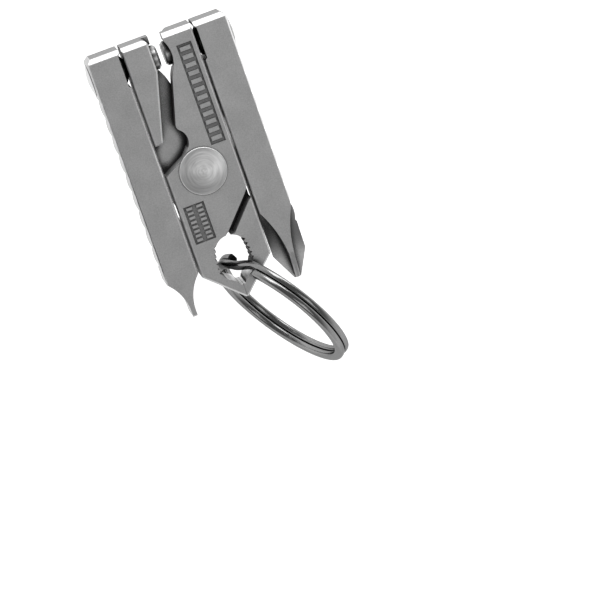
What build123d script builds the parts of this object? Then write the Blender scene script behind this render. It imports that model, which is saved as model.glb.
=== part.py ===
"""Folding key-ring pliers: two crossed plier halves on one rivet, two folding handles that end in
a flat and a cross-point driver, and a split ring through the eye of the jaws.

Millimetres. X runs across the tool, +X towards the cross-point handle. Y runs along it, +Y towards
the handle hinges. +Z comes out of the front face. The origin is where the pivot's axis meets the
flat rear rivet head, so the folded tool lies on Z = 0 and its ring reaches below.
"""
import math
import os

from build123d import *

# ---- driving dimensions ----
THICK = 6.4            # quarter-inch bar that every main piece is made from
REAR_HEAD_H = 0.6      # rear rivet head, standing proud of the back face
Z_BACK = REAR_HEAD_H
Z_FRONT = Z_BACK + THICK
Z_MID = Z_BACK + THICK / 2
LAP_GAP = 0.04         # running gap between the two crossed layers
HALF_W = 6.25          # half the width of the pliers
Y_TOP = 24.4           # hinge end
Y_TIP = -23.2          # nose of the jaws
Y_SHOULDER = -17.45    # where the nose starts to narrow
TIP_HALF_W = 0.25
EDGE = 0.3             # broken edge on the bar stock
END_EDGE = 0.8         # heavier broken edge across the hinge ends

PIVOT_R = 2.5
PIVOT_HEAD_R = 4.15
PIVOT_DOME_H = 0.7
REAR_HEAD_R = 3.9
RUN_GAP = 0.05         # radial clearance of every running fit
FACE_GAP = 0.03        # clearance between faces that slide on each other

HINGE_Y = 20.6
PIN_R = 1.5
PIN_SEAT_X = 1.65      # inner seat of the hinge pins
PIN_TAIL_X = 0.45      # inner end of the hinge pins
PIN_TAIL_R = 2.15
PIN_DOME_R = 2.75
PIN_DOME_H = 0.55

HANDLE_IN = 6.65
HANDLE_OUT = 12.5
HANDLE_X = (HANDLE_IN + HANDLE_OUT) / 2
FLAT_TIP_Y = -23.35
CROSS_TIP_Y = -23.75
RELIEF_DEPTH = 0.4
RELIEF_Y = (17.95, 23.35)
GRIP_TOP_Y = 16.65
GRIP_PITCH = 3.4
GRIP_COUNT = 9
GRIP_DEPTH = 0.26
BLADE_HALF = 0.42      # half thickness of the flat blade and of the cross-point's wings
CROSS_ANGLE = 26.5     # half angle of the cross-point's nose

RING_C = (5.3, -28.65, Z_FRONT - 6.0)
RING_R = 12.75         # middle of the wire
RING_HEADING = -60.5   # direction from the eye to the far side, from +X
RING_LEAN = 17.0       # lean of the ring's front towards the hinge end
WIRE_AXIAL = 1.2
WIRE_RADIAL = 1.7
WIRE_ROUND = 0.42
COIL_PITCH = 1.24
CRANK_START = 143.0    # where the wire steps from one coil to the other
CRANK_END = 163.0
UPPER_END = 172.0      # free ends of the upper and the lower coil
LOWER_END = 138.5


def flip(shape):
    """The same piece turned half a turn about the tool's long axis through mid-thickness."""
    return shape.rotate(Axis((0, 0, Z_MID), (0, 1, 0)), 180)


def slab(face, z0, z1):
    """A flat outline raised into a layer between two heights."""
    return extrude(Pos(0, 0, z0) * face, amount=z1 - z0)


def x_rod(radius, x0, x1):
    """A round rod along X on the handle hinge axis."""
    return Pos(x0, HINGE_Y, Z_MID) * (Rot(0, 90, 0) * Cylinder(
        radius, x1 - x0, align=(Align.CENTER, Align.CENTER, Align.MIN)))


# ---- outlines of the plier halves ----
def main_layer_outline():
    """Front layer of the front half: right arm, rivet boss, left jaw."""
    edges = [
        Line((HALF_W, -4.65), (HALF_W, Y_TOP)),
        Line((HALF_W, Y_TOP), (1.05, Y_TOP)),
        Line((1.05, Y_TOP), (1.05, 23.1)),
        ThreePointArc((1.05, 23.1), (PIN_SEAT_X, HINGE_Y), (0.75, 17.6)),
        Line((0.75, 17.6), (0.4, 16.85)),
        Line((0.4, 16.85), (-1.8, 9.05)),
        ThreePointArc((-1.8, 9.05), (-1.8, 8.45), (-1.35, 7.85)),
        ThreePointArc((-1.35, 7.85), (-0.6, 6.1), (-1.5, 4.2)),
        ThreePointArc((-1.5, 4.2), (-1.95, 3.65), (-2.4, 3.15)),
        Line((-2.4, 3.15), (-HALF_W, 1.1)),
        Line((-HALF_W, 1.1), (-HALF_W, Y_SHOULDER)),
        Line((-HALF_W, Y_SHOULDER), (-TIP_HALF_W, Y_TIP)),
        Line((-TIP_HALF_W, Y_TIP), (-FACE_GAP, Y_TIP)),
        Line((-FACE_GAP, Y_TIP), (-FACE_GAP, -11.85)),
        Line((-FACE_GAP, -11.85), (0.35, -11.6)),
        Line((0.35, -11.6), (5.1, -6.45)),
        ThreePointArc((5.1, -6.45), (5.75, -5.6), (HALF_W, -4.65)),
    ]
    return make_face(edges)


def wedge_outline():
    """Second layer of an arm: the tapered filler beside the open V, here on the left."""
    edges = [
        Line((-HALF_W, Y_TOP), (-HALF_W, 6.65)),
        Line((-HALF_W, 6.65), (-5.35, 6.65)),
        ThreePointArc((-5.35, 6.65), (-4.9, 6.85), (-4.7, 7.3)),
        Line((-4.7, 7.3), (-1.65, 18.6)),
        Line((-1.65, 18.6), (-1.65, Y_TOP - 1.0)),
        ThreePointArc((-1.65, Y_TOP - 1.0), (-1.94, Y_TOP - 0.29), (-2.65, Y_TOP)),
        Line((-2.65, Y_TOP), (-HALF_W, Y_TOP)),
    ]
    return make_face(edges)


def jaw_outline():
    """Second layer of a jaw, here on the right, below the slanted cutting slot."""
    edges = [
        Line((HALF_W, -7.3), (5.75, -7.45)),
        Line((5.75, -7.45), (1.55, -12.05)),
        Line((1.55, -12.05), (FACE_GAP, -12.05)),
        Line((FACE_GAP, -12.05), (FACE_GAP, Y_TIP)),
        Line((FACE_GAP, Y_TIP), (TIP_HALF_W, Y_TIP)),
        Line((TIP_HALF_W, Y_TIP), (HALF_W, Y_SHOULDER)),
        Line((HALF_W, Y_SHOULDER), (HALF_W, -7.3)),
    ]
    return make_face(edges)


def eye_cut():
    """The toothed eye between the jaws, through both layers."""
    edges = [
        ThreePointArc((-2.35, -13.2), (0, -11.95), (2.35, -13.2)),
        ThreePointArc((2.35, -13.2), (2.8, -14.9), (3.0, -16.8)),
        ThreePointArc((3.0, -16.8), (2.75, -18.4), (1.9, -19.5)),
        ThreePointArc((1.9, -19.5), (0.95, -20.1), (0.45, -20.9)),
        Line((0.45, -20.9), (-0.45, -20.9)),
        ThreePointArc((-0.45, -20.9), (-0.95, -20.1), (-1.9, -19.5)),
        ThreePointArc((-1.9, -19.5), (-2.75, -18.4), (-3.0, -16.8)),
        ThreePointArc((-3.0, -16.8), (-2.8, -14.9), (-2.35, -13.2)),
    ]
    cut = slab(make_face(edges), Z_BACK - 1, Z_FRONT + 1)
    tooth_pitch = 0.85
    tooth_depth = 0.4
    for row in range(6):
        y = -13.55 - row * tooth_pitch
        wall = 2.5 + 0.42 * (1 - ((y + 17.0) / 3.5) ** 2)
        for side in (-1, 1):
            groove = Polyline(
                (side * (wall - 0.15), y + tooth_pitch / 2),
                (side * (wall + tooth_depth), y),
                (side * (wall - 0.15), y - tooth_pitch / 2),
                close=True,
            )
            cut += slab(make_face(groove), Z_BACK - 1, Z_FRONT + 1)
    return cut


def stock_envelope():
    """The outside of the folded pliers with its edges broken, which trims both halves."""
    outline = Polyline(
        (-HALF_W, Y_TOP), (HALF_W, Y_TOP), (HALF_W, Y_SHOULDER), (TIP_HALF_W, Y_TIP),
        (-TIP_HALF_W, Y_TIP), (-HALF_W, Y_SHOULDER), close=True,
    )
    block = slab(make_face(outline), Z_BACK, Z_FRONT)
    rims = block.edges().filter_by_position(Axis.Z, Z_FRONT, Z_FRONT)
    rims += block.edges().filter_by_position(Axis.Z, Z_BACK, Z_BACK)
    ends = rims.filter_by_position(Axis.Y, Y_TOP, Y_TOP)
    return chamfer(rims, EDGE) & chamfer(ends, END_EDGE)


def label_panel(x0, x1, y0, y1):
    """A shallow recess in the front face."""
    depth = 0.25
    return Pos((x0 + x1) / 2, (y0 + y1) / 2, Z_FRONT - depth) * Box(
        x1 - x0, y1 - y0, 1, align=(Align.CENTER, Align.CENTER, Align.MIN))


def panel_marks():
    """Plain raised bars that fill the two recessed panels."""
    raised = 0.2
    low = Z_FRONT - 0.3
    marks = []
    for i in range(12):
        y = 20.75 - i * 1.47
        marks.append(Pos(4.07, y, low) * Box(
            1.85, 0.72, 0.05 + raised, align=(Align.CENTER, Align.CENTER, Align.MIN)))
    for column in (-4.45, -2.65):
        for i in range(8):
            y = -5.4 - i * 0.81
            marks.append(Pos(column, y, low) * Box(
                1.05, 0.42, 0.05 + raised, align=(Align.CENTER, Align.CENTER, Align.MIN)))
    return marks


def plain_half(bore_r):
    """One plier half as cast: its two layers, eye wall, pivot bore and hinge-pin bore."""
    step = Z_MID + LAP_GAP / 2
    main = slab(main_layer_outline(), step, Z_FRONT)
    wedge = slab(wedge_outline(), Z_MID - LAP_GAP / 2, Z_FRONT)
    wedge = flip(chamfer(wedge.edges().filter_by_position(Axis.Z, Z_FRONT, Z_FRONT), EDGE))
    jaw = flip(slab(jaw_outline(), Z_MID - LAP_GAP / 2, Z_FRONT))
    half = (main + wedge + jaw) & stock_envelope()
    half -= eye_cut()
    half -= Pos(0, 0, Z_MID) * Cylinder(bore_r, THICK + 2)
    half -= x_rod(PIN_R + RUN_GAP, 0, HALF_W + 1)
    half -= x_rod(PIN_TAIL_R + 0.2, -1.0, PIN_SEAT_X)
    return half


def front_plier_half():
    half = plain_half(PIVOT_R)
    half -= label_panel(2.75, 5.4, 3.6, 21.65)
    half -= label_panel(-5.4, -1.7, -11.65, -4.85)
    for mark in panel_marks():
        half += mark
    return half


def rear_plier_half():
    return flip(plain_half(PIVOT_R + RUN_GAP))


# ---- rivet and hinge pins ----
def dome_middle(radius, rise):
    """Point halfway out on a shallow dome: its radius, and its drop from the crown."""
    ball = (radius ** 2 + rise ** 2) / (2 * rise)
    return radius / 2, ball - math.sqrt(ball ** 2 - (radius / 2) ** 2)


def pivot_rivet():
    """Domed head in front, plain shank, flat formed head behind."""
    rim = 0.25
    crown = Z_FRONT + PIVOT_DOME_H
    middle_r, drop = dome_middle(PIVOT_HEAD_R, PIVOT_DOME_H - rim)
    profile = make_face([
        Line((0, 0), (REAR_HEAD_R - 0.2, 0)),
        Line((REAR_HEAD_R - 0.2, 0), (REAR_HEAD_R, 0.2)),
        Line((REAR_HEAD_R, 0.2), (REAR_HEAD_R, Z_BACK - FACE_GAP)),
        Line((REAR_HEAD_R, Z_BACK - FACE_GAP), (PIVOT_R, Z_BACK - FACE_GAP)),
        Line((PIVOT_R, Z_BACK - FACE_GAP), (PIVOT_R, Z_FRONT)),
        Line((PIVOT_R, Z_FRONT), (PIVOT_HEAD_R, Z_FRONT)),
        Line((PIVOT_HEAD_R, Z_FRONT), (PIVOT_HEAD_R, Z_FRONT + rim)),
        ThreePointArc((PIVOT_HEAD_R, Z_FRONT + rim), (middle_r, crown - drop), (0, crown)),
        Line((0, crown), (0, 0)),
    ])
    return revolve(Plane.XZ * profile, axis=Axis.Z)


def turned_on_hinge(profile_edges):
    """A turned piece on the hinge axis, from a half profile given as (distance along X, radius)."""
    profile = make_face(profile_edges)
    turned = revolve(profile, axis=Axis.X)
    return Pos(0, HINGE_Y, Z_MID) * turned


def hinge_pin():
    """Right-hand pin: flat formed tail inside the arm, shank, low dome outside the handle."""
    seat = PIN_SEAT_X - FACE_GAP
    outer = HANDLE_OUT + FACE_GAP
    rim = 0.12
    crown = outer + PIN_DOME_H
    middle_r, drop = dome_middle(PIN_DOME_R, PIN_DOME_H - rim)
    return turned_on_hinge([
        Line((PIN_TAIL_X, 0), (PIN_TAIL_X, PIN_TAIL_R - 0.35)),
        Line((PIN_TAIL_X, PIN_TAIL_R - 0.35), (PIN_TAIL_X + 0.35, PIN_TAIL_R)),
        Line((PIN_TAIL_X + 0.35, PIN_TAIL_R), (seat, PIN_TAIL_R)),
        Line((seat, PIN_TAIL_R), (seat, PIN_R)),
        Line((seat, PIN_R), (outer, PIN_R)),
        Line((outer, PIN_R), (outer, PIN_DOME_R)),
        Line((outer, PIN_DOME_R), (outer + rim, PIN_DOME_R)),
        ThreePointArc((outer + rim, PIN_DOME_R), (crown - drop, middle_r), (crown, 0)),
        Line((crown, 0), (PIN_TAIL_X, 0)),
    ])


def spring_washer():
    """Right-hand cone-shaped spring washer, squeezed between arm and handle."""
    stock = 0.25
    near = HALF_W + FACE_GAP
    far = HANDLE_IN + RELIEF_DEPTH - FACE_GAP
    inner_r = PIN_R + 0.1
    outer_r = 2.45
    return turned_on_hinge([
        Line((near, inner_r), (near + stock, inner_r)),
        Line((near + stock, inner_r), (far, outer_r)),
        Line((far, outer_r), (far - stock, outer_r)),
        Line((far - stock, outer_r), (near, inner_r)),
    ])


# ---- handles ----
def handle_outline(tip_y):
    """Right-hand handle seen from the front: flat inner side, scalloped grip outside."""
    notch_x = HANDLE_OUT - GRIP_DEPTH
    ramp = 0.35
    inner = HANDLE_IN
    relief = HANDLE_IN + RELIEF_DEPTH
    grip_end = GRIP_TOP_Y - GRIP_COUNT * GRIP_PITCH
    edges = [
        Line((HANDLE_OUT - END_EDGE, Y_TOP), (HANDLE_OUT, Y_TOP - END_EDGE)),
        Line((HANDLE_OUT, Y_TOP - END_EDGE), (HANDLE_OUT, GRIP_TOP_Y + ramp)),
        Line((HANDLE_OUT, GRIP_TOP_Y + ramp), (notch_x, GRIP_TOP_Y)),
    ]
    for i in range(GRIP_COUNT):
        y = GRIP_TOP_Y - i * GRIP_PITCH
        edges.append(ThreePointArc(
            (notch_x, y), (HANDLE_OUT, y - GRIP_PITCH / 2), (notch_x, y - GRIP_PITCH)))
    edges += [
        Line((notch_x, grip_end), (HANDLE_OUT - 0.06, grip_end - ramp)),
        Line((HANDLE_OUT - 0.06, grip_end - ramp), (HANDLE_OUT - 0.06, tip_y)),
        Line((HANDLE_OUT - 0.06, tip_y), (inner, tip_y)),
        Line((inner, tip_y), (inner, RELIEF_Y[0] - ramp)),
        Line((inner, RELIEF_Y[0] - ramp), (relief, RELIEF_Y[0])),
        Line((relief, RELIEF_Y[0]), (relief, RELIEF_Y[1])),
        Line((relief, RELIEF_Y[1]), (inner, RELIEF_Y[1] + ramp)),
        Line((inner, RELIEF_Y[1] + ramp), (inner, Y_TOP)),
        Line((inner, Y_TOP), (HANDLE_OUT - END_EDGE, Y_TOP)),
    ]
    return make_face(edges)


def ground_flanks(half_tip, wheel_r, y_tangent, y_tip):
    """Outline about the Y axis that a grinding wheel leaves on both sides of a driver blade."""
    rise = 3.4 - half_tip
    reach = math.sqrt(wheel_r ** 2 - (wheel_r - rise) ** 2)
    halfway = reach / 2
    halfway_rise = wheel_r - math.sqrt(wheel_r ** 2 - halfway ** 2)
    y_start = y_tangent + reach
    edges = [
        Line((-3.4, Y_TOP + 1), (3.4, Y_TOP + 1)),
        Line((3.4, Y_TOP + 1), (3.4, y_start)),
        ThreePointArc((3.4, y_start), (half_tip + halfway_rise, y_tangent + halfway),
                      (half_tip, y_tangent)),
        Line((half_tip, y_tangent), (half_tip, y_tip)),
        Line((half_tip, y_tip), (-half_tip, y_tip)),
        Line((-half_tip, y_tip), (-half_tip, y_tangent)),
        ThreePointArc((-half_tip, y_tangent), (-half_tip - halfway_rise, y_tangent + halfway),
                      (-3.4, y_start)),
        Line((-3.4, y_start), (-3.4, Y_TOP + 1)),
    ]
    return make_face(edges)


def handle_bar(tip_y):
    """The handle before its driver is ground: broken edges, relief, grip and pin bore."""
    bar = slab(handle_outline(tip_y), Z_BACK, Z_FRONT)
    block = Pos((HANDLE_IN + HANDLE_OUT) / 2, (Y_TOP + tip_y) / 2, Z_MID) * Box(
        HANDLE_OUT - HANDLE_IN, Y_TOP - tip_y, THICK)
    long_edges = block.edges().filter_by(Axis.Y) + block.edges().filter_by(Axis.X)
    ends = block.edges().filter_by(Axis.X).filter_by_position(Axis.Y, Y_TOP, Y_TOP)
    bar &= chamfer(long_edges, EDGE) & chamfer(ends, END_EDGE)
    bar -= x_rod(PIN_R + RUN_GAP, HANDLE_IN - 1, HANDLE_OUT + 1)
    return bar


def cross_point_handle():
    """Right handle: four ground flutes leave the wings of a cross-point driver."""
    bar = handle_bar(CROSS_TIP_Y)
    flanks = ground_flanks(BLADE_HALF, 20.5, -20.2, CROSS_TIP_Y - 1)
    across = Pos(HANDLE_X, 0, 0) * slab(flanks, Z_BACK - 1, Z_FRONT + 1)
    upright = Pos(HANDLE_X, 0, Z_MID) * (Rot(0, 90, 0) * extrude(flanks, amount=4, both=True))
    driver = (bar & across) + (bar & upright)
    nose_flat = 0.65
    nose_len = 12.0
    nose_r = nose_flat + nose_len * math.tan(math.radians(CROSS_ANGLE))
    cone = Pos(HANDLE_X, CROSS_TIP_Y, Z_MID) * (Rot(-90, 0, 0) * Cone(
        nose_flat, nose_r, nose_len, align=(Align.CENTER, Align.CENTER, Align.MIN)))
    plain = Pos(HANDLE_X, CROSS_TIP_Y + nose_len, Z_MID) * Box(
        10, 60, 10, align=(Align.CENTER, Align.MIN, Align.CENTER))
    return driver & (cone + plain)


def flat_driver_handle():
    """Left handle: ground hollow on both sides to a flat screwdriver blade."""
    bar = handle_bar(FLAT_TIP_Y)
    flanks = ground_flanks(BLADE_HALF, 8.2, -22.3, FLAT_TIP_Y - 1)
    blade = bar & (Pos(HANDLE_X, 0, 0) * slab(flanks, Z_BACK - 1, Z_FRONT + 1))
    return flip(blade)


# ---- split ring ----
def ring_plane():
    heading = math.radians(RING_HEADING)
    lean = math.radians(RING_LEAN)
    out = Vector(math.cos(heading), math.sin(heading), 0)
    side = Vector(-math.sin(heading), math.cos(heading), 0)
    rise = side * math.sin(lean) + Vector(0, 0, math.cos(lean))
    return Plane(origin=RING_C, x_dir=out, z_dir=out.cross(rise))


def wire_section():
    return RectangleRounded(WIRE_RADIAL, WIRE_AXIAL, WIRE_ROUND)


def coil(start, stop, offset):
    """One coil of flattened wire at its place along the ring's axis."""
    section = Plane.XZ * (Pos(RING_R, offset) * wire_section())
    return revolve(section, axis=Axis.Z, revolution_arc=stop - start).rotate(Axis.Z, start)


def crank():
    """The short step of the wire from one coil to the other."""
    stations = 7
    sections = []
    for i in range(stations):
        share = i / (stations - 1)
        angle = CRANK_START + share * (CRANK_END - CRANK_START)
        eased = share * share * (3 - 2 * share)
        turn = math.radians(angle)
        place = Plane(
            origin=(RING_R * math.cos(turn), RING_R * math.sin(turn),
                    COIL_PITCH * (eased - 0.5)),
            x_dir=(math.cos(turn), math.sin(turn), 0),
            z_dir=(math.sin(turn), -math.cos(turn), 0),
        )
        sections.append(place * wire_section())
    return loft(sections)


def split_ring():
    upper = coil(UPPER_END - 360, CRANK_START, -COIL_PITCH / 2)
    lower = coil(CRANK_END, LOWER_END + 360, COIL_PITCH / 2)
    return ring_plane().location * (upper + crank() + lower)


PIECES = {
    "front_plier_half": front_plier_half,
    "rear_plier_half": rear_plier_half,
    "pivot_rivet": pivot_rivet,
    "left_handle": flat_driver_handle,
    "right_handle": cross_point_handle,
    "left_hinge_pin": lambda: flip(hinge_pin()),
    "right_hinge_pin": hinge_pin,
    "left_spring_washer": lambda: flip(spring_washer()),
    "right_spring_washer": spring_washer,
    "split_ring": split_ring,
}

os.makedirs("parts", exist_ok=True)
for name, make in PIECES.items():
    export_step(make(), f"parts/{name}.step")
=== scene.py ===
"""Looks of the folding key-ring pliers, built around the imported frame. Metres throughout."""
import math

import bmesh
import bpy
from mathutils import Matrix, Vector


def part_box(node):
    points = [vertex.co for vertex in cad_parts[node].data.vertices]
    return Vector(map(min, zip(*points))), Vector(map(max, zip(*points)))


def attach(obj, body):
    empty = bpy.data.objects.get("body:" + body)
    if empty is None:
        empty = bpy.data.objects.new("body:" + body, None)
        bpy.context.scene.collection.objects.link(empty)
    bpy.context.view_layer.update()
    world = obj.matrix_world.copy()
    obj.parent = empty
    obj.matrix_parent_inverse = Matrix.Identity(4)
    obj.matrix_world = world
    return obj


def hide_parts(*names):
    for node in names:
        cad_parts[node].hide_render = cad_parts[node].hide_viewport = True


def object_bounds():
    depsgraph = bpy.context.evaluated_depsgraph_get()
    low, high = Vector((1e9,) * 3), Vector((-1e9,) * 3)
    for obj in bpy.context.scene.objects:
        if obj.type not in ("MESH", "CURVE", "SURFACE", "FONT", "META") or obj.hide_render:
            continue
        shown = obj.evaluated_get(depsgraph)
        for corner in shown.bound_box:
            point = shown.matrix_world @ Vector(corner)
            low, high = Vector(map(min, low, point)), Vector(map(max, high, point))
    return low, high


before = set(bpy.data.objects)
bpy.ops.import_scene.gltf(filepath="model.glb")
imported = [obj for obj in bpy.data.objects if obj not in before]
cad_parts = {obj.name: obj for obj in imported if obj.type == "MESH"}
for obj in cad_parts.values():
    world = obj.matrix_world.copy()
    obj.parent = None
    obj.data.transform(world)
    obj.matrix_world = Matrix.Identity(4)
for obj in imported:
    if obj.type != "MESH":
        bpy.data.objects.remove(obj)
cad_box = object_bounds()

MM = 0.001

# ---- camera ----
# A long lens on the hinge end's side of the front face, with the tool lying across the frame's
# upper left. The aim is the middle of the front face, at the rivet.
aim = Vector((0, 0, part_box("front_plier_half")[1].z))
towards_camera = Vector((-0.092, 0.242, 0.966)).normalized()
tool_right = Vector((0, 1, 0)).cross(towards_camera).normalized()
tool_up = towards_camera.cross(tool_right)
tilt = math.radians(19.4)
frame_right = tool_right * math.cos(tilt) - tool_up * math.sin(tilt)
frame_up = tool_right * math.sin(tilt) + tool_up * math.cos(tilt)
aim_to_centre = (8.19 * MM, -26.1 * MM)
frame_centre = aim + tool_right * aim_to_centre[0] + tool_up * aim_to_centre[1]
frame_width = 101.7 * MM

camera_data = bpy.data.cameras.new("camera")
camera_data.lens = 200
camera_data.clip_start = 0.01
camera = bpy.data.objects.new("camera", camera_data)
camera_distance = frame_width * camera_data.lens / camera_data.sensor_width
camera_turn = Matrix((frame_right, frame_up, towards_camera)).transposed().to_4x4()
camera.matrix_world = Matrix.Translation(
    frame_centre + towards_camera * camera_distance) @ camera_turn
bpy.context.scene.collection.objects.link(camera)
bpy.context.scene.camera = camera
bpy.context.scene.view_settings.view_transform = "Standard"

# ---- table top and studio light ----
# A matt white sheet below the ring at any swing, a soft box overhead, a second one beyond the
# hinge end, and surroundings that are white near the table and dimmer overhead.
sheet_half = 1.5
sheet_z = cad_box[0][2] - 4 * MM
sheet_mesh = bpy.data.meshes.new("table_top")
sheet_mesh.from_pydata(
    [(-sheet_half, -sheet_half, sheet_z), (sheet_half, -sheet_half, sheet_z),
     (sheet_half, sheet_half, sheet_z), (-sheet_half, sheet_half, sheet_z)],
    [], [(0, 1, 2, 3)])
sheet = bpy.data.objects.new("table_top", sheet_mesh)
bpy.context.scene.collection.objects.link(sheet)
sheet_white = bpy.data.materials.new("matt_white")
sheet_white.use_nodes = True
sheet_shader = sheet_white.node_tree.nodes["Principled BSDF"]
sheet_shader.inputs["Base Color"].default_value = (0.9, 0.9, 0.9, 1)
sheet_shader.inputs["Roughness"].default_value = 0.9
sheet_shader.inputs["Emission Color"].default_value = (1, 1, 1, 1)
sheet_shader.inputs["Emission Strength"].default_value = 0.75
sheet_mesh.materials.append(sheet_white)

surroundings = bpy.data.worlds.new("surroundings")
surroundings.use_nodes = True
sky_nodes, sky_link = surroundings.node_tree.nodes, surroundings.node_tree.links.new
background = sky_nodes["Background"]
background.inputs["Color"].default_value = (1, 1, 1, 1)
direction = sky_nodes.new("ShaderNodeTexCoord")
height = sky_nodes.new("ShaderNodeSeparateXYZ")
brightness = sky_nodes.new("ShaderNodeMapRange")
brightness.interpolation_type = "SMOOTHSTEP"
for socket, value in (("From Min", 0.15), ("From Max", 0.75), ("To Min", 1.1), ("To Max", 0.2)):
    brightness.inputs[socket].default_value = value
sky_link(direction.outputs["Generated"], height.inputs["Vector"])
sky_link(height.outputs["Z"], brightness.inputs["Value"])
sky_link(brightness.outputs["Result"], background.inputs["Strength"])
bpy.context.scene.world = surroundings


def soft_box(name, direction, distance, width, height, watts):
    """A rectangular light that faces the tool from a direction."""
    light = bpy.data.lights.new(name, "AREA")
    light.shape = "RECTANGLE"
    light.size = width
    light.size_y = height
    light.energy = watts
    lamp = bpy.data.objects.new(name, light)
    away = Vector(direction).normalized()
    lamp.matrix_world = Matrix.Translation(away * distance) @ away.to_track_quat(
        "Z", "Y").to_matrix().to_4x4()
    bpy.context.scene.collection.objects.link(lamp)


soft_box("overhead_box", (0.25, -0.1, 1.0), distance=0.9, width=0.5, height=0.5, watts=0.9)
soft_box("hinge_end_box", (0.35, 1.0, 0.55), distance=0.7, width=0.5, height=0.25, watts=1.6)

# ---- front plier half ----
# Quarter-inch stainless bar, milled to two crossed layers with a toothed eye, then bead-blasted.
# Its edges are broken with a 45-degree chamfer, painted lighter as a highlight, and two label
# panels are sunk in it.


def grain_and_painted_shade_group():
    """Blasted metal's fine pits and slow drift of tone, and an occlusion mask for painted corner
    shade.
    """
    tree = bpy.data.node_groups.new("metal_grain_and_painted_shade", "ShaderNodeTree")
    for name, value in (("Pit Size", 0.00022), ("Drift Size", 0.004), ("Fleck", 0.7),
                        ("Painted Shade Reach", 0.002)):
        tree.interface.new_socket(
            name, in_out="INPUT", socket_type="NodeSocketFloat").default_value = value
    tree.interface.new_socket("Tone", in_out="OUTPUT", socket_type="NodeSocketFloat")
    tree.interface.new_socket("Height", in_out="OUTPUT", socket_type="NodeSocketFloat")
    tree.interface.new_socket("Open", in_out="OUTPUT", socket_type="NodeSocketFloat")
    nodes, link = tree.nodes, tree.links.new
    given = nodes.new("NodeGroupInput")
    out = nodes.new("NodeGroupOutput")
    place = nodes.new("ShaderNodeTexCoord")
    heights = {}
    for name in ("Pit Size", "Drift Size"):
        per_metre = nodes.new("ShaderNodeMath")
        per_metre.operation = "DIVIDE"
        per_metre.inputs[0].default_value = 1.0
        link(given.outputs[name], per_metre.inputs[1])
        noise = nodes.new("ShaderNodeTexNoise")
        noise.inputs["Detail"].default_value = 3.0
        link(place.outputs["Object"], noise.inputs["Vector"])
        link(per_metre.outputs[0], noise.inputs["Scale"])
        heights[name] = noise.outputs["Fac"]
    blend = nodes.new("ShaderNodeMix")
    link(given.outputs["Fleck"], blend.inputs["Factor"])
    link(heights["Drift Size"], blend.inputs["A"])
    link(heights["Pit Size"], blend.inputs["B"])
    link(blend.outputs["Result"], out.inputs["Tone"])
    link(heights["Pit Size"], out.inputs["Height"])
    # Ambient occlusion: the mask that paints shade into corners, recesses and gaps between parts.
    corners = nodes.new("ShaderNodeAmbientOcclusion")
    corners.samples = 12
    link(given.outputs["Painted Shade Reach"], corners.inputs["Distance"])
    link(corners.outputs["AO"], out.inputs["Open"])
    return tree


metal_grain_and_painted_shade = grain_and_painted_shade_group()


def steel(name, dark, light, rough_low, rough_high, relief, fleck=0.7, painted_shade_tone=0.08,
          edge_tint=1.0):
    """A steel finish: tone and roughness follow the grain, and corners get painted shade from
    occlusion.
    """
    material = bpy.data.materials.new(name)
    material.use_nodes = True
    nodes, link = material.node_tree.nodes, material.node_tree.links.new
    shader = nodes["Principled BSDF"]
    shader.inputs["Metallic"].default_value = 1.0
    shader.inputs["Specular Tint"].default_value = (edge_tint, edge_tint, edge_tint, 1)
    grain = nodes.new("ShaderNodeGroup")
    grain.node_tree = metal_grain_and_painted_shade
    grain.inputs["Fleck"].default_value = fleck
    tone = nodes.new("ShaderNodeMapRange")
    tone.name = "Tone"
    for socket, value in (("From Min", 0.3), ("From Max", 0.7), ("To Min", dark),
                          ("To Max", light)):
        tone.inputs[socket].default_value = value
    link(grain.outputs["Tone"], tone.inputs["Value"])
    # Painted shade: the base colour darkens where occlusion finds a corner or recess, down to the
    # corner tone.
    painted_corner_shade = nodes.new("ShaderNodeMapRange")
    painted_corner_shade.interpolation_type = "SMOOTHSTEP"
    for socket, value in (("From Min", 0.55), ("From Max", 0.88), ("To Min", painted_shade_tone),
                          ("To Max", 1.0)):
        painted_corner_shade.inputs[socket].default_value = value
    link(grain.outputs["Open"], painted_corner_shade.inputs["Value"])
    shade = nodes.new("ShaderNodeMath")
    shade.operation = "MULTIPLY"
    link(tone.outputs["Result"], shade.inputs[0])
    link(painted_corner_shade.outputs["Result"], shade.inputs[1])
    colour = nodes.new("ShaderNodeCombineColor")
    for channel in ("Red", "Green", "Blue"):
        link(shade.outputs[0], colour.inputs[channel])
    link(colour.outputs["Color"], shader.inputs["Base Color"])
    gloss = nodes.new("ShaderNodeMapRange")
    for socket, value in (("From Min", 0.3), ("From Max", 0.7), ("To Min", rough_high),
                          ("To Max", rough_low)):
        gloss.inputs[socket].default_value = value
    link(grain.outputs["Tone"], gloss.inputs["Value"])
    link(gloss.outputs["Result"], shader.inputs["Roughness"])
    bump = nodes.new("ShaderNodeBump")
    bump.name = "Relief"
    bump.inputs["Strength"].default_value = 1.0
    bump.inputs["Distance"].default_value = relief
    link(grain.outputs["Height"], bump.inputs["Height"])
    link(bump.outputs["Normal"], shader.inputs["Normal"])
    return material


# Each finish below paints shade into its corners from the occlusion mask; its corner tone sets how
# dark.
blasted_steel = steel("blasted_steel", 0.42, 0.54, 0.44, 0.56, 0.000012)
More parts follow.
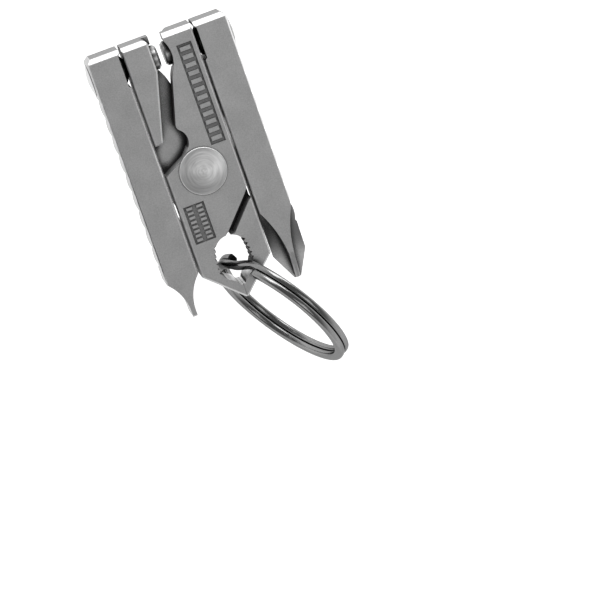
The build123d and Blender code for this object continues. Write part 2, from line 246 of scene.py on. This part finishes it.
# Painted highlights: the chamfer finish is a lighter copy of the blasted one, and the end finish a
# much lighter one for faces where the light falls.
chamfer_painted_highlight = steel("chamfer_painted_highlight", 0.50, 0.60, 0.42, 0.50, 0.000002, painted_shade_tone=0.7)
end_painted_highlight = steel("end_painted_highlight", 0.84, 0.94, 0.52, 0.60, 0.000002, painted_shade_tone=0.8)
etched_floor = steel("etched_floor", 0.24, 0.34, 0.55, 0.65, 0.000016, painted_shade_tone=0.4)
milled_wall = steel("milled_wall", 0.50, 0.62, 0.32, 0.42, 0.000004, painted_shade_tone=0.3,
                    edge_tint=0.3)
# Painted shade: the tooth walls are near black, standing in for the shade in the grooves between
# teeth.
tooth_painted_shade = steel("tooth_painted_shade", 0.08, 0.16, 0.38, 0.48, 0.000006, painted_shade_tone=0.4,
                    edge_tint=0.3)


def whole_skin(node, name):
    """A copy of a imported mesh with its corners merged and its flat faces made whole."""
    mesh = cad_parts[node].data.copy()
    mesh.name = name
    mesh.materials.clear()
    skin = bmesh.new()
    skin.from_mesh(mesh)
    bmesh.ops.remove_doubles(skin, verts=skin.verts, dist=0.5e-6)
    bmesh.ops.dissolve_limit(
        skin, angle_limit=math.radians(0.6), verts=skin.verts, edges=skin.edges,
        use_dissolve_boundaries=False)
    skin.to_mesh(mesh)
    skin.free()
    if "custom_normal" in mesh.attributes:
        mesh.attributes.remove(mesh.attributes["custom_normal"])
    piece = bpy.data.objects.new(name, mesh)
    bpy.context.scene.collection.objects.link(piece)
    return piece


def is_wall(face):
    """True for a face that stands upright or nearly so."""
    return abs(face.normal.z) < 0.3


def is_broken_edge(face):
    """True for a narrow 45-degree chamfer between a flat side and the front or back face."""
    return abs(abs(face.normal.z) - math.cos(math.radians(45))) < 0.02


def finish_piece(piece, finishes, finish_of):
    """Gives each face its finish, and eases the sharp corners by a hair, as tumbling does; the
    eased strips get the chamfer's painted highlight.
    """
    for finish in finishes:
        piece.data.materials.append(finish)
    for face in piece.data.polygons:
        face.material_index = finishes.index(finish_of(face))
    piece.data.shade_smooth()
    piece.data.set_sharp_from_angle(angle=math.radians(25))
    ease = piece.modifiers.new("eased_edges", "BEVEL")
    ease.width = 0.05 * MM
    ease.segments = 2
    ease.limit_method = "ANGLE"
    ease.angle_limit = math.radians(25)
    ease.use_clamp_overlap = True
    ease.harden_normals = True
    ease.material = finishes.index(chamfer_painted_highlight)


label_floor_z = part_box("front_plier_half")[1].z - 0.25 * MM
teeth_from, teeth_to, eye_half_width = -18.9 * MM, -12.9 * MM, 3.6 * MM
end_faces_from = 20 * MM


def is_label_floor(face):
    """True for the sunken floor of a label panel."""
    return face.normal.z > 0.99 and abs(face.center.z - label_floor_z) < 0.02 * MM


def faces_hinge_end(face):
    """True for a chamfer across the hinge end, and for an inner wall that looks that way."""
    inner_wall = is_wall(face) and face.center.y < end_faces_from
    return face.normal.y > 0.6 and (is_broken_edge(face) or inner_wall)


def is_right_rim(face):
    """True for the broken edges that face the right, which are painted lighter than the others, as
    a highlight.
    """
    return is_broken_edge(face) and face.normal.x > 0.5


def is_tooth(face):
    """True for the toothed stretch of the eye's two walls."""
    in_eye = abs(face.center.x) < eye_half_width and teeth_from < face.center.y < teeth_to
    return is_wall(face) and in_eye


def half_finish(face):
    """The finish of one face of a plier half."""
    if is_label_floor(face):
        return etched_floor
    # Painted shade in the tooth grooves.
    if is_tooth(face):
        return tooth_painted_shade
    # Painted highlight: faces towards the hinge end and the right, where the light falls, get the
    # much lighter end finish.
    if faces_hinge_end(face) or is_right_rim(face):
        return end_painted_highlight
    if is_broken_edge(face):
        return chamfer_painted_highlight
    return milled_wall if is_wall(face) else blasted_steel


def milled_half(node, name, body):
    """One plier half: blasted flats, milled walls, chamfers painted light as highlights, and teeth
    painted dark as shade.
    """
    piece = whole_skin(node, name)
    finish_piece(piece, [blasted_steel, chamfer_painted_highlight, etched_floor, milled_wall, tooth_painted_shade,
                         end_painted_highlight], half_finish)
    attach(piece, body)
    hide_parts(node)


milled_half("front_plier_half", "front_half", "front_half")

# ---- rear plier half ----
# The same milled and blasted half, turned over so that its jaw crosses the front one's. It has
# no labels, and its pivot bore is a running fit on the rivet.
milled_half("rear_plier_half", "rear_half", "rear_half")

# ---- flat driver handle ----
# The left bar, scalloped outside for grip and hollow-ground on both flats to a screwdriver
# blade. Grinding leaves it glossier than the blasted bar, with fine lines across the blade.


def ground_finish(name, line_pitch):
    """Freshly ground steel: the plain finish with fine lines drawn across it."""
    material = steel(name, 0.34, 0.46, 0.26, 0.36, 0.000008)
    nodes, link = material.node_tree.nodes, material.node_tree.links.new
    place = nodes.new("ShaderNodeTexCoord")
    squeeze = nodes.new("ShaderNodeMapping")
    squeeze.inputs["Scale"].default_value = (0.06, 1.0, 0.06)
    lines = nodes.new("ShaderNodeTexNoise")
    lines.inputs["Scale"].default_value = 1.0 / line_pitch
    lines.inputs["Detail"].default_value = 4.0
    link(place.outputs["Object"], squeeze.inputs["Vector"])
    link(squeeze.outputs["Vector"], lines.inputs["Vector"])
    link(lines.outputs["Fac"], nodes["Relief"].inputs["Height"])
    return material


ground_steel = ground_finish("ground_steel", 0.00012)
blade_from = -15.5 * MM
bar_back, bar_front = (corner.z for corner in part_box("left_handle"))


def clear_of_bar_faces(face):
    """True for a face that lies inside the bar's thickness, as the ground ones do."""
    return bar_back + 0.05 * MM < face.center.z < bar_front - 0.05 * MM


def is_blade(face):
    """True for the hollow-ground flats of the flat driver."""
    return (face.center.y < blade_from and clear_of_bar_faces(face)
            and abs(face.normal.z) > 0.3)


def driver_handle(node, name, body, is_ground):
    """One handle bar: blasted grip, chamfers painted light as highlights, and a driver ground on
    its lower end.
    """
    def bar_finish(face):
        if is_ground(face):
            return ground_steel
        if is_broken_edge(face):
            # Painted highlight on the chamfers that face the hinge end or the right.
            bright = faces_hinge_end(face) or is_right_rim(face)
            return end_painted_highlight if bright else chamfer_painted_highlight
        across = abs(face.normal.x) < 0.1 and abs(face.normal.y) > 0.9
        return milled_wall if across else blasted_steel

    piece = whole_skin(node, name)
    finish_piece(piece, [blasted_steel, chamfer_painted_highlight, ground_steel, end_painted_highlight, milled_wall],
                 bar_finish)
    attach(piece, body)
    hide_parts(node)


driver_handle("left_handle", "flat_driver_handle", "left_handle", is_blade)

# ---- cross-point driver handle ----
# The right bar, the same outside, with four long flutes ground into its end. They leave the
# wings of a cross-point driver and a short cone at its nose.
flutes_from = -9.3 * MM
bar_inside, bar_outside = (corner.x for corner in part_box("right_handle"))


def is_flute(face):
    """True for the flutes and the cone, which lie inside the bar's width and thickness."""
    inside_width = bar_inside + 0.08 * MM < face.center.x < bar_outside - 0.08 * MM
    return face.center.y < flutes_from and clear_of_bar_faces(face) and inside_width


driver_handle("right_handle", "cross_point_handle", "right_handle", is_flute)

# ---- pivot rivet ----
# One spun steel rivet: a low domed head in front, brushed in rings by the spinning tool, a
# plain shank, and a flat formed head behind.


def turned_piece(name, profile, centre, axis, steps=96):
    """A lathe-turned solid from (distance along the axis, radius) points, closed at both ends."""
    along = Vector(axis).normalized()
    across = along.orthogonal().normalized()
    other = along.cross(across)
    mesh = bpy.data.meshes.new(name)
    turning = bmesh.new()
    rings = []
    for distance, radius in profile:
        middle = Vector(centre) + along * distance
        if radius == 0:
            rings.append([turning.verts.new(middle)])
            continue
        rings.append([
            turning.verts.new(middle + (across * math.cos(a) + other * math.sin(a)) * radius)
            for a in (2 * math.pi * i / steps for i in range(steps))])
    closed_loop = profile[0] == profile[-1]
    if closed_loop:
        for vert in rings.pop():
            turning.verts.remove(vert)
        rings.append(rings[0])
    for near, far in zip(rings, rings[1:]):
        for i in range(steps):
            j = (i + 1) % steps
            corners = []
            for ring, k in ((near, i), (near, j), (far, j), (far, i)):
                vert = ring[k] if len(ring) > 1 else ring[0]
                if vert not in corners:
                    corners.append(vert)
            if len(corners) > 2:
                turning.faces.new(corners)
    bmesh.ops.recalc_face_normals(turning, faces=turning.faces)
    turning.to_mesh(mesh)
    turning.free()
    mesh.shade_smooth()
    mesh.set_sharp_from_angle(angle=math.radians(32))
    piece = bpy.data.objects.new(name, mesh)
    bpy.context.scene.collection.objects.link(piece)
    return piece


def dome(radius, rise, rim, points=14):
    """A low dome as (height, radius) points, from its crown down to an eased rim."""
    ball = (radius ** 2 + (rise - rim) ** 2) / (2 * (rise - rim))
    ease = 0.7 * rim
    curve = []
    for i in range(points + 1):
        r = (radius - ease) * i / points
        curve.append((rise - ball + math.sqrt(ball ** 2 - r ** 2), r))
    foot = curve[-1][0]
    for turn in (30, 60, 90):
        a = math.radians(turn)
        curve.append((foot - ease * (1 - math.cos(a)) - 0.3 * ease * (turn / 90),
                      radius - ease + ease * math.sin(a)))
    return curve


head_seat, head_radius, head_rise, head_rim = 7.0, 4.15, 0.7, 0.25
shank_radius, tail_radius, tail_top = 2.5, 3.9, 0.57
rivet_profile = [
    (head_seat + height, radius) for height, radius in dome(head_radius, head_rise, head_rim)]
rivet_profile += [(head_seat + 0.01, head_radius), (head_seat, head_radius - 0.04),
                  (head_seat, shank_radius), (tail_top, shank_radius)]
rivet_profile += [(tail_top, tail_radius - 0.04), (tail_top - 0.04, tail_radius),
                  (0.22, tail_radius), (0.12, tail_radius - 0.06), (0.0, tail_radius - 0.3)]
rivet_profile += [(0.0, 2.0), (0.0, 0)]
rivet = turned_piece(
    "rivet", [(height * MM, radius * MM) for height, radius in rivet_profile],
    (0, 0, 0), (0, 0, 1))


def spun_finish(streak_width, streak_turn):
    """Steel brushed in broken rings about the Z axis, each streak part of a turn long."""
    material = steel("spun_steel", 0.62, 0.90, 0.40, 0.50, 0.000003)
    nodes, link = material.node_tree.nodes, material.node_tree.links.new
    shader = nodes["Principled BSDF"]
    shader.inputs["Anisotropic"].default_value = 0.75
    brushed_round = nodes.new("ShaderNodeTangent")
    brushed_round.direction_type = "RADIAL"
    brushed_round.axis = "Z"
    link(brushed_round.outputs["Tangent"], shader.inputs["Tangent"])
    place = nodes.new("ShaderNodeTexCoord")
    plan = nodes.new("ShaderNodeMapping")
    plan.inputs["Scale"].default_value = (1, 1, 0)
    link(place.outputs["Object"], plan.inputs["Vector"])
    radius = nodes.new("ShaderNodeVectorMath")
    radius.operation = "LENGTH"
    link(plan.outputs["Vector"], radius.inputs[0])
    heading_out = nodes.new("ShaderNodeVectorMath")
    heading_out.operation = "NORMALIZE"
    link(plan.outputs["Vector"], heading_out.inputs[0])
    round_trip = nodes.new("ShaderNodeVectorMath")
    round_trip.operation = "SCALE"
    round_trip.inputs["Scale"].default_value = streak_width / streak_turn
    link(heading_out.outputs["Vector"], round_trip.inputs[0])
    outwards = nodes.new("ShaderNodeCombineXYZ")
    link(radius.outputs["Value"], outwards.inputs["Z"])
    spot = nodes.new("ShaderNodeVectorMath")
    link(round_trip.outputs["Vector"], spot.inputs[0])
    link(outwards.outputs["Vector"], spot.inputs[1])
    streaks = nodes.new("ShaderNodeTexNoise")
    streaks.inputs["Scale"].default_value = 1 / streak_width
    streaks.inputs["Detail"].default_value = 3.0
    link(spot.outputs["Vector"], streaks.inputs["Vector"])
    link(streaks.outputs["Fac"], nodes["Tone"].inputs["Value"])
    link(streaks.outputs["Fac"], nodes["Relief"].inputs["Height"])
    return material


rivet.data.materials.append(spun_finish(0.35 * MM, 1.2))
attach(rivet, "front_half")
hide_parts("pivot_rivet")

# ---- hinge pins ----
# Two turned steel pins, one through each arm and its handle: a low dome outside the handle, a
# plain shank, and a tail formed over inside the arm.
hinge_centre = Vector((0, 20.6, 3.8)) * MM
pin_head_seat, pin_head_radius, pin_radius = 12.53, 2.75, 1.5
pin_tail_seat, pin_tail_radius, pin_tail_end, pin_tail_edge = 1.62, 2.15, 0.45, 0.35
turned_steel = steel("turned_steel", 0.48, 0.64, 0.26, 0.38, 0.000004)


def hinge_pin(name, node, body, way):
    """A pin whose dome looks along way, which is +1 or -1 on the X axis."""
    profile = [(pin_head_seat + height, radius)
               for height, radius in dome(pin_head_radius, 0.55, 0.12)]
    profile += [(pin_head_seat, pin_head_radius), (pin_head_seat, pin_radius)]
    profile += [(pin_tail_seat, pin_radius), (pin_tail_seat, pin_tail_radius)]
    profile += [(pin_tail_end + pin_tail_edge, pin_tail_radius),
                (pin_tail_end, pin_tail_radius - pin_tail_edge)]
    profile += [(pin_tail_end, 1.0), (pin_tail_end, 0)]
    piece = turned_piece(
        name, [(along * MM, radius * MM) for along, radius in profile],
        hinge_centre, (way, 0, 0))
    piece.data.materials.append(turned_steel)
    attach(piece, body)
    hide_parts(node)


hinge_pin("left_pin", "left_hinge_pin", "left_hinge", -1)
hinge_pin("right_pin", "right_hinge_pin", "right_hinge", 1)

# ---- spring washers ----
# A cone-shaped washer of blued spring steel squeezed between each arm and its handle, which
# gives the handle its drag.
blued_steel = steel("blued_steel", 0.12, 0.22, 0.30, 0.40, 0.000003)
washer_near, washer_far, washer_thickness = 6.28, 7.02, 0.25
washer_bore, washer_rim, washer_land = 1.6, 2.45, 0.05


def spring_washer(name, node, body, way):
    """A washer whose small end bears on the arm."""
    profile = [(washer_near, washer_bore), (washer_near + washer_thickness, washer_bore),
               (washer_far, washer_rim - washer_land), (washer_far, washer_rim),
               (washer_far - washer_thickness, washer_rim),
               (washer_near, washer_bore + washer_land), (washer_near, washer_bore)]
    piece = turned_piece(
        name, [(along * MM, radius * MM) for along, radius in profile],
        hinge_centre, (way, 0, 0))
    piece.data.materials.append(blued_steel)
    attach(piece, body)
    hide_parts(node)


spring_washer("left_washer", "left_spring_washer", "left_hinge", -1)
spring_washer("right_washer", "right_spring_washer", "right_hinge", 1)

# ---- split ring ----
# One length of flattened spring wire, coiled nearly twice and nickel-plated to a dark polish. It
# steps from one coil to the other in a short crank, and its two ends are cut square.


def split_wire_tree(finish, sizes):
    """A flattened wire that follows two coils and the crank between them."""
    tree = bpy.data.node_groups.new("split_wire", "GeometryNodeTree")
    for name, value in sizes.items():
        tree.interface.new_socket(
            name, in_out="INPUT", socket_type="NodeSocketFloat").default_value = value
    tree.interface.new_socket("Geometry", in_out="OUTPUT", socket_type="NodeSocketGeometry")
    nodes, link = tree.nodes, tree.links.new
    given = nodes.new("NodeGroupInput").outputs
    out = nodes.new("NodeGroupOutput")

    def maths(operation, a, b=None):
        step = nodes.new("ShaderNodeMath")
        step.operation = operation
        for socket, value in zip(step.inputs, (a, b)):
            if isinstance(value, (int, float)):
                socket.default_value = value
            elif value is not None:
                link(value, socket)
        return step.outputs[0]

    line = nodes.new("GeometryNodeCurvePrimitiveLine")
    points = nodes.new("GeometryNodeResampleCurve")
    points.inputs["Count"].default_value = 420
    link(line.outputs["Curve"], points.inputs["Curve"])
    share = nodes.new("GeometryNodeSplineParameter").outputs["Factor"]
    angle = nodes.new("ShaderNodeMapRange")
    link(share, angle.inputs["Value"])
    link(given["First Angle"], angle.inputs["To Min"])
    link(given["Last Angle"], angle.inputs["To Max"])
    step_up = nodes.new("ShaderNodeMapRange")
    step_up.interpolation_type = "SMOOTHSTEP"
    link(angle.outputs["Result"], step_up.inputs["Value"])
    link(given["Crank Start"], step_up.inputs["From Min"])
    link(given["Crank End"], step_up.inputs["From Max"])
    step_up.inputs["To Min"].default_value = -0.5
    step_up.inputs["To Max"].default_value = 0.5
    place = nodes.new("ShaderNodeCombineXYZ")
    turn = angle.outputs["Result"]
    link(maths("MULTIPLY", given["Ring Radius"], maths("COSINE", turn)), place.inputs["X"])
    link(maths("MULTIPLY", given["Ring Radius"], maths("SINE", turn)), place.inputs["Y"])
    link(maths("MULTIPLY", given["Coil Pitch"], step_up.outputs["Result"]), place.inputs["Z"])
    bend = nodes.new("GeometryNodeSetPosition")
    link(points.outputs["Curve"], bend.inputs["Geometry"])
    link(place.outputs["Vector"], bend.inputs["Position"])
    upright = nodes.new("GeometryNodeSetCurveNormal")
    upright.mode = "Z_UP"
    link(bend.outputs["Geometry"], upright.inputs["Curve"])
    section = nodes.new("GeometryNodeCurvePrimitiveQuadrilateral")
    link(given["Wire Radial"], section.inputs["Width"])
    link(given["Wire Axial"], section.inputs["Height"])
    corners = nodes.new("GeometryNodeFilletCurve")
    corners.mode = "POLY"
    corners.inputs["Count"].default_value = 5
    link(section.outputs["Curve"], corners.inputs["Curve"])
    link(given["Wire Round"], corners.inputs["Radius"])
    wire = nodes.new("GeometryNodeCurveToMesh")
    wire.inputs["Fill Caps"].default_value = True
    link(upright.outputs["Curve"], wire.inputs["Curve"])
    link(corners.outputs["Curve"], wire.inputs["Profile Curve"])
    whole = nodes.new("GeometryNodeRealizeInstances")
    link(wire.outputs["Mesh"], whole.inputs["Geometry"])
    plated = nodes.new("GeometryNodeSetMaterial")
    plated.inputs["Material"].default_value = finish
    link(whole.outputs["Geometry"], plated.inputs["Geometry"])
    link(plated.outputs["Geometry"], out.inputs["Geometry"])
    return tree


polished_nickel = steel("polished_nickel", 0.22, 0.28, 0.14, 0.20, 0.0, fleck=0.9,
                        painted_shade_tone=0.15, edge_tint=0.5)
crank_start, crank_end, upper_end, lower_end = 143.0, 163.0, 172.0, 138.5
ring_tree = split_wire_tree(polished_nickel, {
    "Ring Radius": 12.75 * MM, "Coil Pitch": 1.24 * MM, "Wire Radial": 1.7 * MM,
    "Wire Axial": 1.2 * MM, "Wire Round": 0.42 * MM,
    "First Angle": math.radians(upper_end - 360),
    "Crank Start": math.radians(crank_start), "Crank End": math.radians(crank_end),
    "Last Angle": math.radians(lower_end + 360)})
ring_seed = bpy.data.objects.new("ring_seed", bpy.data.meshes.new("ring_seed"))
bpy.context.scene.collection.objects.link(ring_seed)
ring_seed.modifiers.new("winding", "NODES").node_group = ring_tree
evaluated = ring_seed.evaluated_get(bpy.context.evaluated_depsgraph_get())
ring_mesh = bpy.data.meshes.new_from_object(evaluated)
bpy.data.objects.remove(ring_seed)

ring_centre = Vector((5.3, -28.65, 1.0)) * MM
heading = math.radians(-60.5)
lean = math.radians(17.0)
ring_out = Vector((math.cos(heading), math.sin(heading), 0))
ring_side = Vector((-math.sin(heading), math.cos(heading), 0))
ring_rise = ring_side * math.sin(lean) + Vector((0, 0, math.cos(lean)))
ring_axes = Matrix((ring_out, ring_rise, ring_out.cross(ring_rise))).transposed().to_4x4()
ring_mesh.transform(Matrix.Translation(ring_centre) @ ring_axes)
wound = bmesh.new()
wound.from_mesh(ring_mesh)
bmesh.ops.remove_doubles(wound, verts=wound.verts, dist=1e-7)
bmesh.ops.recalc_face_normals(wound, faces=wound.faces)
wound.to_mesh(ring_mesh)
wound.free()
ring_mesh.shade_smooth()
ring_mesh.set_sharp_from_angle(angle=math.radians(40))
ring = bpy.data.objects.new("coiled_ring", ring_mesh)
bpy.context.scene.collection.objects.link(ring)
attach(ring, "key_ring")
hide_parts("split_ring")
